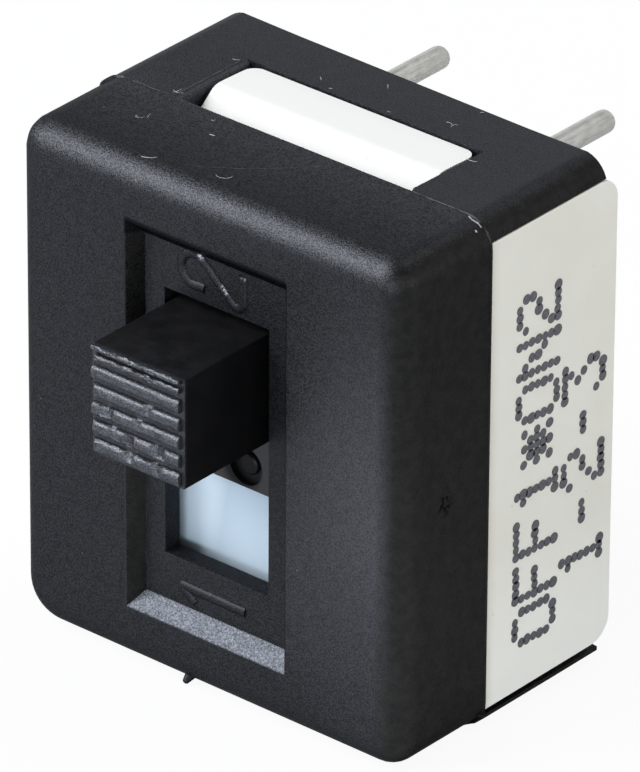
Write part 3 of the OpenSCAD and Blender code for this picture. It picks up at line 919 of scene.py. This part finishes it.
def model_case():
    """The case: a block with rounded back edges, a lip inside the bezel and the centre rib."""
    case = start_block("case_moulding", (-HALF_W + 0.02, PARTING + 0.015, -CASE_HALF_H),
                       (HALF_W - 0.02, BOARD, CASE_HALF_H))
    edges_where(lambda a, b: near(a.y, BOARD) and near(b.y, BOARD) and near(abs(a.z), CASE_HALF_H)
                and near(a.z, b.z))
    round_edges(CASE_R, 8)
    edges_where(lambda a, b: near(a.y, BOARD) and near(b.y, BOARD) and near(abs(a.x), HALF_W - 0.02)
                and near(a.x, b.x))
    round_edges(0.05, 2)
    # lip that fits inside the bezel
    inner = SIDE_INNER - 0.02
    at_front = lambda c: near(c.y, PARTING + 0.015)
    for place in (-inner, inner, -RIB_HALF, RIB_HALF):
        faces_towards((0, -1, 0), at_front)
        slice_selected("x", place)
    faces_towards((0, -1, 0), at_front, lambda c: abs(c.x) < inner)
    push(0, RIB_FRONT - PARTING - 0.015, 0)
    # chambers for the two poles, on each side of the rib
    for side in (-1, 1):
        faces_towards((0, -1, 0), lambda c: near(c.y, RIB_FRONT), lambda c: RIB_HALF < side * c.x < inner)
        slice_selected("x", side * 3.4)
        for place in (-5.25, 5.25):
            faces_towards((0, -1, 0), lambda c: near(c.y, RIB_FRONT), lambda c: RIB_HALF < side * c.x < 3.4)
            slice_selected("z", place)
        faces_towards((0, -1, 0), lambda c: near(c.y, RIB_FRONT),
                      lambda c: RIB_HALF < side * c.x < 3.4 and abs(c.z) < 5.25)
        push(0, FRONT + 4.9 - RIB_FRONT, 0)
    # seat of the seal
    rim = HALF_W - 0.7
    for axis, place in (("x", -rim), ("x", rim), ("z", SEAL_LOW.z), ("z", SEAL_HIGH.z)):
        faces_towards((0, 1, 0), lambda c: near(c.y, BOARD))
        slice_selected(axis, place)
    faces_towards((0, 1, 0), lambda c: near(c.y, BOARD), lambda c: abs(c.x) < rim and abs(c.z) < SEAL_HIGH.z)
    push(0, SEAL_LOW.y - BOARD, 0)
    bpy.ops.object.mode_set(mode="OBJECT")
    return case


def model_snap(side):
    """The snap wedge that shows through a strap's window, side +1 above and -1 below."""
    half = WINDOW_HALF - 0.1
    y0, y1 = PARTING + 0.55, WINDOW_BACK - 0.06
    snap = start_block("snap", (-half, y0, CASE_HALF_H - 0.1), (half, y1, HALF_H - 0.03))
    slice_all("y", y0 + 0.5, y0 + 0.8)
    pick("verts", lambda v: near(v.co.y, y0) and v.co.z > CASE_HALF_H)
    shift(0, 0, -0.42)
    pick("verts", lambda v: near(v.co.y, y1) and v.co.z > CASE_HALF_H)
    shift(0, 0, -0.04)
    edges_where(lambda a, b: min(a.z, b.z) > CASE_HALF_H + 0.1 and near(a.y, b.y) and not near(a.y, y1))
    round_edges(0.16, 5)
    edges_where(lambda a, b: near(a.y, y1) and near(b.y, y1) and near(a.x, b.x) and near(abs(a.x), half))
    round_edges(0.34, 6)
    edges_where(lambda a, b: near(a.y, y1) and near(b.y, y1) and min(a.z, b.z) > CASE_HALF_H)
    round_edges(0.05, 2)
    bpy.ops.object.mode_set(mode="OBJECT")
    if side < 0:
        snap.scale = (1, 1, -1)
        clear_selection()
        snap.select_set(True)
        bpy.context.view_layer.objects.active = snap
        bpy.ops.object.transform_apply(location=True, rotation=True, scale=True)
    return snap


# ---------------------------------------------------------------- slider

def ridge_places():
    """Middle and half height of each grip ridge, the top one split in two thin ones."""
    pitch = (KNOB_TOP - KNOB_LOW) / RIDGES
    ridges = [(KNOB_LOW + (i + 0.5) * pitch, 0.37 * pitch) for i in range(RIDGES - 1)]
    last = KNOB_TOP - 0.5 * pitch
    return ridges + [(last - 0.060, 0.065), (last + 0.155, 0.060)]


def raise_ridges():
    """Half-round ridges across the tip, which stop a little short of the right edge."""
    crown = KNOB_TIP + 0.018
    on_tip = lambda c: near(c.y, KNOB_TIP + RIDGE_H)
    for place in (-KNOB_HALF + 0.05, KNOB_HALF - 0.11):
        faces_towards((0, -1, 0), on_tip)
        slice_selected("x", place)
    for mid, half in ridge_places():
        for place in (mid - half, mid + half):
            faces_towards((0, -1, 0), on_tip)
            slice_selected("z", place)
    for mid, half in ridge_places():
        faces_towards((0, -1, 0), on_tip, lambda c: abs(c.z - mid) < half,
                      lambda c: -KNOB_HALF + 0.05 < c.x < KNOB_HALF - 0.11)
        push(0, crown - KNOB_TIP - RIDGE_H, 0)
        edges_where(lambda a, b: near(a.y, crown) and near(b.y, crown) and near(a.z, b.z)
                    and abs(a.z - mid) < half + 0.01)
        round_edges(min(half * 0.86, 0.125), 4)


NICKS = (  # ridge from the bottom, place along it, height on it, half length and depth
    (3, 0.32, 0.10, 0.05, 0.07), (2, -0.98, 0.08, 0.08, 0.06), (2, -0.76, 0.00, 0.05, 0.09),
    (2, 0.05, 0.10, 0.04, 0.05), (2, 0.60, -0.08, 0.05, 0.05), (1, -0.20, 0.00, 0.07, 0.11),
    (1, 0.64, 0.02, 0.09, 0.10), (1, -0.72, 0.12, 0.04, 0.04), (0, 0.58, 0.04, 0.08, 0.07),
    (0, -0.22, 0.10, 0.05, 0.06), (3, 1.02, -0.10, 0.04, 0.05), (0, -0.80, -0.1, 0.06, 0.05),
)


def wear_ridges():
    """Roughens the ridges, most of all the top and bottom ones, and nicks them."""
    raised = lambda c: c.y < KNOB_TIP + RIDGE_H - 0.004
    places = ridge_places()
    between = lambda c: near(c.y, KNOB_TIP + RIDGE_H) and places[0][0] < c.z < places[-1][0]
    for step in range(1, 34):
        pick("faces", lambda face: raised(face.calc_center_median())
             or between(face.calc_center_median()) and abs(face.normal.y) > 0.99)
        slice_selected("x", -KNOB_HALF + 0.05 + step * 0.074)
    pick("verts", lambda v: v.co.y < KNOB_TIP + RIDGE_H - 0.02)
    bpy.ops.transform.vertex_random(offset=0.010, seed=3)
    ends = (places[0][0] + 0.16, places[-2][0] - 0.09)
    pick("verts", lambda v: v.co.y < KNOB_TIP + RIDGE_H - 0.02 and not ends[0] < v.co.z < ends[1])
    bpy.ops.transform.vertex_random(offset=0.016, seed=11)
    for ridge, x, above, half, depth in NICKS:
        mid = places[ridge][0] + above
        for reach, share in ((0.075, 0.4), (0.0, 0.6)):
            pick("verts", lambda v: abs(v.co.x - x) < half + reach and abs(v.co.z - mid) < 0.10 + reach * 0.6
                 and v.co.y < KNOB_TIP + RIDGE_H - 0.02)
            shift(0, depth * share, -0.01)
    for ridge, inset in ((5, 0.13), (3, 0.05), (1, 0.03), (0, 0.06)):
        pick("verts", lambda v: v.co.x < -KNOB_HALF + 0.12 and abs(v.co.z - places[ridge][0]) < 0.15
             and v.co.y < KNOB_TIP + RIDGE_H - 0.02)
        shift(inset, inset * 0.4, 0)
    pick("verts", lambda v: v.co.y < KNOB_TIP)
    resize((1, 0, 1), (0, KNOB_TIP, 0))


def model_slider():
    """The knob with its worn grip ridges, on the skirt that closes the slot."""
    knob = start_block("slider_moulding", (-KNOB_HALF, KNOB_TIP + RIDGE_H, KNOB_LOW),
                       (KNOB_HALF, SKIRT_FRONT, KNOB_TOP))
    edges_where(lambda a, b: near(a.y, b.y, 9) and near(a.x, b.x) and near(a.z, b.z) and near(abs(a.x), KNOB_HALF))
    round_edges(0.05, 2)
    raise_ridges()
    wear_ridges()
    # skirt, legs and bores
    faces_towards((0, 1, 0), lambda c: near(c.y, SKIRT_FRONT))
    push(0, SKIRT_BACK - SKIRT_FRONT, 0)
    half_w = SLIDER_HIGH.x
    pick("faces", lambda face: near(face.calc_center_median().y, (SKIRT_FRONT + SKIRT_BACK) / 2, 0.02)
         and face.normal.z > 0.9)
    shift_up = SLIDER_HIGH.z - KNOB_TOP
    push(0, 0, shift_up)
    pick("faces", lambda face: near(face.calc_center_median().y, (SKIRT_FRONT + SKIRT_BACK) / 2, 0.02)
         and face.normal.z < -0.9)
    push(0, 0, -shift_up)
    pick("faces", lambda face: face.calc_center_median().y > SKIRT_FRONT + 0.01 and face.normal.x > 0.9)
    push(half_w - KNOB_HALF, 0, 0)
    pick("faces", lambda face: face.calc_center_median().y > SKIRT_FRONT + 0.01 and face.normal.x < -0.9)
    push(KNOB_HALF - half_w, 0, 0)
    bpy.ops.object.mode_set(mode="OBJECT")
    for side in (-1, 1):
        leg = start_block("leg", (side * 2.6 - 0.75, SKIRT_BACK - 0.05, SLIDER_MID - 1.3),
                          (side * 2.6 + 0.75, SLIDER_HIGH.y, SLIDER_MID + 1.3))
        pick("edges", lambda e: near(e.verts[0].co.x, e.verts[1].co.x) and near(e.verts[0].co.z, e.verts[1].co.z))
        round_edges(0.06, 2)
        bpy.ops.object.mode_set(mode="OBJECT")
        combine(knob, leg, "UNION")
        bore = start_rod("bore", 0.45, SKIRT_BACK, SLIDER_HIGH.y + 1, side * 2.6, SLIDER_MID)
        bpy.ops.object.mode_set(mode="OBJECT")
        combine(knob, bore, "DIFFERENCE")
    gate_z = SLIDER_LOW.z + 0.55
    well = start_rod("gate_well", 0.48, RECESS_FLOOR, SKIRT_FRONT + 0.15, 0.44, gate_z, 40)
    bpy.ops.object.mode_set(mode="OBJECT")
    combine(knob, well, "DIFFERENCE")
    stub = start_rod("gate_stub", 0.27, SKIRT_FRONT + 0.03, SKIRT_FRONT + 0.2, 0.47, gate_z + 0.02, 28)
    edges_where(lambda a, b: near(a.y, SKIRT_FRONT + 0.03) and near(b.y, SKIRT_FRONT + 0.03))
    round_edges(0.08, 3)
    bpy.ops.object.mode_set(mode="OBJECT")
    combine(knob, stub, "UNION")
    return knob


# ------------------------------------------------------------------ pins

def model_pin(node):
    """A round pin with a rounded tip, headed where its node has a head."""
    low, high = span(node)
    x, z = (low.x + high.x) / 2, (low.z + high.z) / 2
    radius = 0.28
    head = high.x - low.x > 0.7
    start = low.y + (0.25 if head else 0)
    pin = start_rod(node + "_wire", radius, start, high.y, x, z, 36)
    slice_all("y", BOARD + 0.4, BOARD + 1.6, BOARD + 2.8)
    edges_where(lambda a, b: near(a.y, high.y) and near(b.y, high.y))
    round_edges(0.2, 5)
    if head:
        faces_towards((0, -1, 0), lambda c: near(c.y, start))
        push(0, low.y - start, 0)
        pick("faces", lambda face: abs(face.normal.y) < 0.3 and face.calc_center_median().y < start)
        grow = (high.x - low.x) / 2 / radius
        bpy.ops.mesh.extrude_region_shrink_fatten(TRANSFORM_OT_shrink_fatten={"value": 0.0})
        resize((grow, 1, grow), (x, 0, z))
    bpy.ops.object.mode_set(mode="OBJECT")
    return pin


# ----------------------------------------------------------------- print

DOTS = {
    "O": ("01110", "10001", "10001", "10001", "10001", "10001", "01110"),
    "F": ("11111", "10000", "10000", "11110", "10000", "10000", "10000"),
    "N": ("10001", "11001", "10101", "10101", "10011", "10001", "10001"),
    "1": ("00100", "01100", "00100", "00100", "00100", "00100", "01110"),
    "2": ("01110", "10001", "00001", "00110", "01000", "10000", "11111"),
    "3": ("11111", "00010", "00100", "00010", "00001", "10001", "01110"),
    "*": ("00000", "10101", "01110", "11111", "01110", "10101", "00000"),
    "-": ("00000", "00000", "00000", "01110", "00000", "00000", "00000"),
}


def model_print():
    """Two lines of dotted marking up the case's right side: the knob's positions and the pins."""
    random.seed(7)
    lines = (("OFF1*ON2", FRONT + 4.05, -4.75), ("1-2-3", FRONT + 5.68, -3.75))
    advance, height, dot_r = 1.13, 1.32, 0.122
    step_up, step_along = height / 6, 0.195
    clear_selection()
    bpy.ops.mesh.primitive_cylinder_add(vertices=14, radius=dot_r, depth=0.012,
                                        location=(0, 0, 0), rotation=(0, math.pi / 2, 0))
    drop = bpy.context.object
    bpy.ops.object.transform_apply(location=True, rotation=True, scale=True)
    drops = []
    for text, top, start in lines:
        for i, character in enumerate(text):
            for row, cells in enumerate(DOTS[character]):
                for column, cell in enumerate(cells):
                    if cell == "0":
                        continue
                    copy = drop.copy()
                    copy.data = drop.data.copy()
                    bpy.context.scene.collection.objects.link(copy)
                    along = start + i * advance + column * step_along + (6 - row) * 0.012
                    across = top + row * step_up
                    size = random.uniform(0.86, 1.14)
                    copy.location = (PRINT_FACE, across + random.uniform(-0.012, 0.012),
                                     along + random.uniform(-0.012, 0.012))
                    copy.scale = (1, size * random.uniform(0.9, 1.1), size)
                    drops.append(copy)
    bpy.data.objects.remove(drop)
    marking = join_pieces(drops, "case_marking")
    clear_selection()
    marking.select_set(True)
    bpy.context.view_layer.objects.active = marking
    bpy.ops.object.transform_apply(location=True, rotation=True, scale=True)
    return marking


# ----------------------------------------------------------- the assembly

def build_switch():
    grained = black_grained_plastic()
    smooth = black_smooth_plastic()
    cream = cream_plastic()
    tin = tin_plate()

    finish_piece(model_cover(), "housing", grained, ["cover"])
    digits = join_pieces(model_digits(), "position_digits")
    finish_piece(digits, "housing", grained, angle=60)
    finish_piece(model_parting_line(), "housing", painted_pale_flash(), angle=60)
    finish_piece(model_lint(), "housing", lint_finish(), angle=60)
    finish_piece(model_case(), "housing", cream, ["case"])
    for side, name in ((1, "snap_upper"), (-1, "snap_lower")):
        snap = model_snap(side)
        snap.name = snap.data.name = name
        finish_piece(snap, "housing", cream)
    finish_piece(model_slider(), "sliding", smooth, ["slider"])
    for node in sorted(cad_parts):
        if node.startswith("pin_"):
            finish_piece(model_pin(node), "housing", tin, [node])
    finish_piece(model_print(), "housing", print_ink())

    finishes = {
        "seal": resin(),
        "spring": metal("spring_wire", (0.42, 0.43, 0.45), (0.58, 0.59, 0.61), 0.25),
        "plunger": metal("turned_brass", (0.55, 0.40, 0.16), (0.70, 0.54, 0.26), 0.25),
        "rocker": metal("silver_plate", (0.68, 0.68, 0.66), (0.80, 0.80, 0.78), 0.22),
        "saddle": metal("pressed_brass", (0.52, 0.38, 0.16), (0.66, 0.50, 0.24), 0.30),
        "button": metal("contact_silver", (0.70, 0.70, 0.68), (0.84, 0.84, 0.82), 0.20),
    }
    for node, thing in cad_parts.items():
        kind = node.split("_")[0]
        if kind in finishes:
            thing.data.materials.clear()
            thing.data.materials.append(finishes[kind])


# ------------------------------------------------------- floor and lights

def set_floor():
    clear_selection()
    bpy.ops.mesh.primitive_plane_add(size=3, location=(0, 0, cad_low.z - 0.00002))
    floor = bpy.context.object
    floor.name = "floor"
    f = Finish("pale_floor")
    paths = f.add("ShaderNodeLightPath", {}, {}, "Is Camera Ray")
    plain = f.add("ShaderNodeBsdfDiffuse", {}, {"Color": rgb(0.86, 0.86, 0.87)})
    white = f.add("ShaderNodeEmission", {}, {"Color": rgb(1, 1, 1), "Strength": 1.0})
    both = f.add("ShaderNodeMixShader", {}, [paths * 0.93, plain, white])
    f.add("ShaderNodeOutputMaterial", {}, {"Surface": both})
    floor.data.materials.append(f.material)


def set_world():
    """An even room, white to the camera and in reflections, and dimmer high overhead."""
    world = bpy.data.worlds.new("studio")
    bpy.context.scene.world = world
    world.use_nodes = True
    room = Graph(world.node_tree, "Generated")
    seen, mirrored, through = (room.add("ShaderNodeLightPath", {}, {}, kind) for kind in (
        "Is Camera Ray", "Is Glossy Ray", "Is Transmission Ray"))
    mirrored = mirrored * room.level(room.axis("Z"), 0.50, 0.74, 1.0, 0.10)
    dim = room.add("ShaderNodeBackground", {}, {"Color": rgb(0.92, 0.96, 1.0), "Strength": 0.35})
    white = room.add("ShaderNodeBackground", {}, {"Color": rgb(1, 1, 1), "Strength": 1.0})
    both = room.add("ShaderNodeMixShader", {}, [seen.greatest(mirrored).greatest(through), dim, white])
    room.add("ShaderNodeOutputWorld", {}, {"Surface": both})


def softbox(name, direction, distance, width, height, level, colour):
    """An area lamp aimed at the switch. The level is its brightness as seen, where 1 is white."""
    data = bpy.data.lights.new(name, "AREA")
    data.shape = "RECTANGLE"
    data.size, data.size_y = width, height
    data.energy = level * math.pi * width * height
    data.color = colour
    lamp = bpy.data.objects.new(name, data)
    bpy.context.scene.collection.objects.link(lamp)
    centre = (cad_low + cad_high) / 2
    direction = Vector(direction).normalized()
    lamp.location = centre + direction * distance
    lamp.rotation_euler = direction.to_track_quat("Z", "Y").to_euler()
    return lamp


def set_lights():
    softbox("key_upper_left", (-0.565, -0.57, 0.60), 0.6, 0.45, 0.45, 6.2, (1.0, 1.0, 1.0))
    softbox("right_fill", (1.0, 0.15, 0.14), 0.7, 0.45, 0.35, 1.75, (1.0, 0.985, 0.95))
    softbox("front_fill", (0.45, -1.0, 0.05), 0.7, 0.50, 0.30, 6.2, (0.86, 0.93, 1.0))
    softbox("top_fill", (0.2, 0.5, 1.0), 0.7, 0.3, 0.3, 2.9, (1.0, 1.0, 1.0))
    softbox("rim_upper_left", (-0.70, 0.668, 0.05), 0.7, 0.30, 0.20, 1.0, (0.95, 0.97, 1.0))


def set_camera():
    """A long lens, looking down on the knob side from the front right."""
    azimuth, elevation, roll = (math.radians(a) for a in (40.198, 28.908, -0.347))
    towards = Vector((math.sin(azimuth) * math.cos(elevation),
                      -math.cos(azimuth) * math.cos(elevation), math.sin(elevation)))
    right = Vector((math.cos(azimuth), math.sin(azimuth), 0))
    up = towards.cross(right)
    right, up = (math.cos(roll) * right - math.sin(roll) * up,
                 math.sin(roll) * right + math.cos(roll) * up)
    data = bpy.data.cameras.new("camera")
    data.lens = 456.8
    data.sensor_width = 36
    data.clip_start, data.clip_end = 0.01, 20
    camera = bpy.data.objects.new("camera", data)
    bpy.context.scene.collection.objects.link(camera)
    turn = Matrix((right, up, towards)).transposed().to_4x4()
    face = Vector((0, FRONT, 0))
    place = face + 2.556 * right + 1.390 * up + 216.64 * towards
    camera.matrix_world = Matrix.Translation(place * MM) @ turn
    bpy.context.scene.camera = camera


build_switch()
set_floor()
set_world()
set_lights()
set_camera()
bpy.context.scene.view_settings.view_transform = "Standard"
